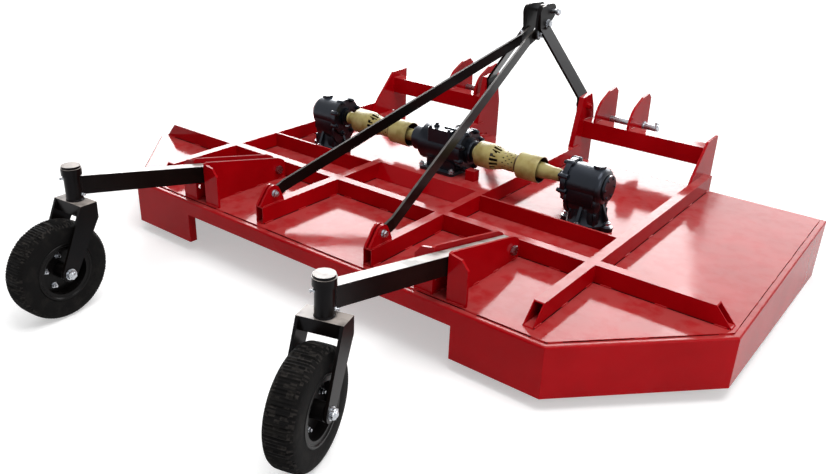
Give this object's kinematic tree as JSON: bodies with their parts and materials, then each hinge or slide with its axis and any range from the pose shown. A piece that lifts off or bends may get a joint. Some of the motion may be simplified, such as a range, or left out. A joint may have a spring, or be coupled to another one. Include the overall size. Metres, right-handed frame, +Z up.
{
  "type": "three-point twin-rotor rotary slasher mower",
  "caption": "Wide tractor-mounted rotary slasher mower with a folded sheet deck, mast, gear drive and rear caster wheels",
  "frame": {"origin": "on the floor under the middle of the whole machine's bounding box", "axes": "X across the machine to its right, Y ahead to the tractor, Z up"},
  "size_m": [3, 2.7309, 0.9991],
  "materials": {
    "red_enamel": "gloss enamel on folded sheet",
    "black_satin": "satin black",
    "slate_paint": "paint on castings",
    "olive_plastic": "moulded guard",
    "zinc": "zinc plated",
    "shaft_steel": "oiled steel",
    "tyre_rubber": "laminated rubber",
    "wheel_rim": "painted pressing"
  },
  "bodies": {
    "deck_frame": {"deck_plate": "red_enamel", "left_skirt": "red_enamel", "right_skirt": "red_enamel", "rear_band": "red_enamel", "front_band": "red_enamel", "rear_cross_beam": "red_enamel", "left_outer_beam": "red_enamel", "left_inner_beam": "red_enamel", "right_inner_beam": "red_enamel", "right_outer_beam": "red_enamel", "left_cross_plate": "red_enamel", "right_cross_plate": "red_enamel", "gearbox_pedestal": "red_enamel", "left_outer_upright": "red_enamel", "right_outer_upright": "red_enamel", "left_inner_upright": "red_enamel", "right_inner_upright": "red_enamel", "left_link_tube": "red_enamel", "right_link_tube": "red_enamel", "left_link_ears": "red_enamel", "right_link_ears": "red_enamel", "left_link_pin": "zinc", "right_link_pin": "zinc", "mast_clevis": "black_satin", "left_mast_leg": "black_satin", "right_mast_leg": "black_satin", "left_brace": "black_satin", "right_brace": "black_satin", "left_brace_lugs": "red_enamel", "right_brace_lugs": "red_enamel", "top_link_pin": "zinc", "left_gearbox": "slate_paint", "right_gearbox": "slate_paint", "centre_gearbox": "slate_paint", "left_shaft_guard": "olive_plastic", "right_shaft_guard": "olive_plastic", "left_caster_bracket": "red_enamel", "right_caster_bracket": "red_enamel", "left_pivot_bolt": "zinc", "right_pivot_bolt": "zinc"},
    "left_caster_arm": {"left_caster_arm": "black_satin"},
    "left_caster_fork": {"left_fork": "black_satin"},
    "left_wheel": {"left_tyre": "tyre_rubber", "left_rim": "wheel_rim"},
    "left_rotor": {"left_rotor": "shaft_steel"},
    "left_drive_shaft": {"left_drive_shaft": "shaft_steel"},
    "right_caster_arm": {"right_caster_arm": "black_satin"},
    "right_caster_fork": {"right_fork": "black_satin"},
    "right_wheel": {"right_tyre": "tyre_rubber", "right_rim": "wheel_rim"},
    "right_rotor": {"right_rotor": "shaft_steel"},
    "right_drive_shaft": {"right_drive_shaft": "shaft_steel"},
    "input_shaft": {"input_shaft": "shaft_steel"}
  },
  "joints": [
    {"name": "left_arm_hinge", "type": "hinge", "parent": "deck_frame", "child": "left_caster_arm", "pos_m": [-0.63, -0.10613, 0.29952], "axis": [1, 0, 0], "range_deg": [0, 10]},
    {"name": "left_caster_swivel", "type": "hinge", "parent": "left_caster_arm", "child": "left_caster_fork", "pos_m": [-0.63, -1.06961, 0.484], "axis": [0, 0, 1], "continuous": true},
    {"name": "left_wheel_roll", "type": "hinge", "parent": "left_caster_fork", "child": "left_wheel", "pos_m": [-0.62041, -1.17919, 0.184], "axis": [0.9962, 0.0872, 0], "continuous": true},
    {"name": "left_rotor_spin", "type": "hinge", "parent": "deck_frame", "child": "left_rotor", "pos_m": [-0.715, 0.39085, 0.16144], "axis": [0, -0.014, 0.9999], "continuous": true},
    {"name": "left_drive_shaft_spin", "type": "hinge", "parent": "deck_frame", "child": "left_drive_shaft", "pos_m": [-0.365, 0.38694, 0.44141], "axis": [1, 0, 0], "continuous": true},
    {"name": "right_arm_hinge", "type": "hinge", "parent": "deck_frame", "child": "right_caster_arm", "pos_m": [0.62, -0.10613, 0.29952], "axis": [1, 0, 0], "range_deg": [0, 10]},
    {"name": "right_caster_swivel", "type": "hinge", "parent": "right_caster_arm", "child": "right_caster_fork", "pos_m": [0.62, -1.06961, 0.484], "axis": [0, 0, 1], "continuous": true},
    {"name": "right_wheel_roll", "type": "hinge", "parent": "right_caster_fork", "child": "right_wheel", "pos_m": [0.65216, -1.1748, 0.184], "axis": [0.9563, 0.2924, 0], "continuous": true},
    {"name": "right_rotor_spin", "type": "hinge", "parent": "deck_frame", "child": "right_rotor", "pos_m": [0.715, 0.39085, 0.16144], "axis": [0, -0.014, 0.9999], "continuous": true},
    {"name": "right_drive_shaft_spin", "type": "hinge", "parent": "deck_frame", "child": "right_drive_shaft", "pos_m": [0.365, 0.38694, 0.44141], "axis": [1, 0, 0], "continuous": true},
    {"name": "input_shaft_spin", "type": "hinge", "parent": "deck_frame", "child": "input_shaft", "pos_m": [0, 0.53692, 0.44351], "axis": [0, 0.9999, 0.014], "continuous": true}
  ],
  "couplings": [
    {"joint": "left_rotor_spin", "follows": "right_rotor_spin", "ratio": -1},
    {"joint": "right_drive_shaft_spin", "follows": "right_rotor_spin", "ratio": 0.5},
    {"joint": "left_drive_shaft_spin", "follows": "right_rotor_spin", "ratio": 0.5},
    {"joint": "input_shaft_spin", "follows": "right_rotor_spin", "ratio": 0.5}
  ]
}
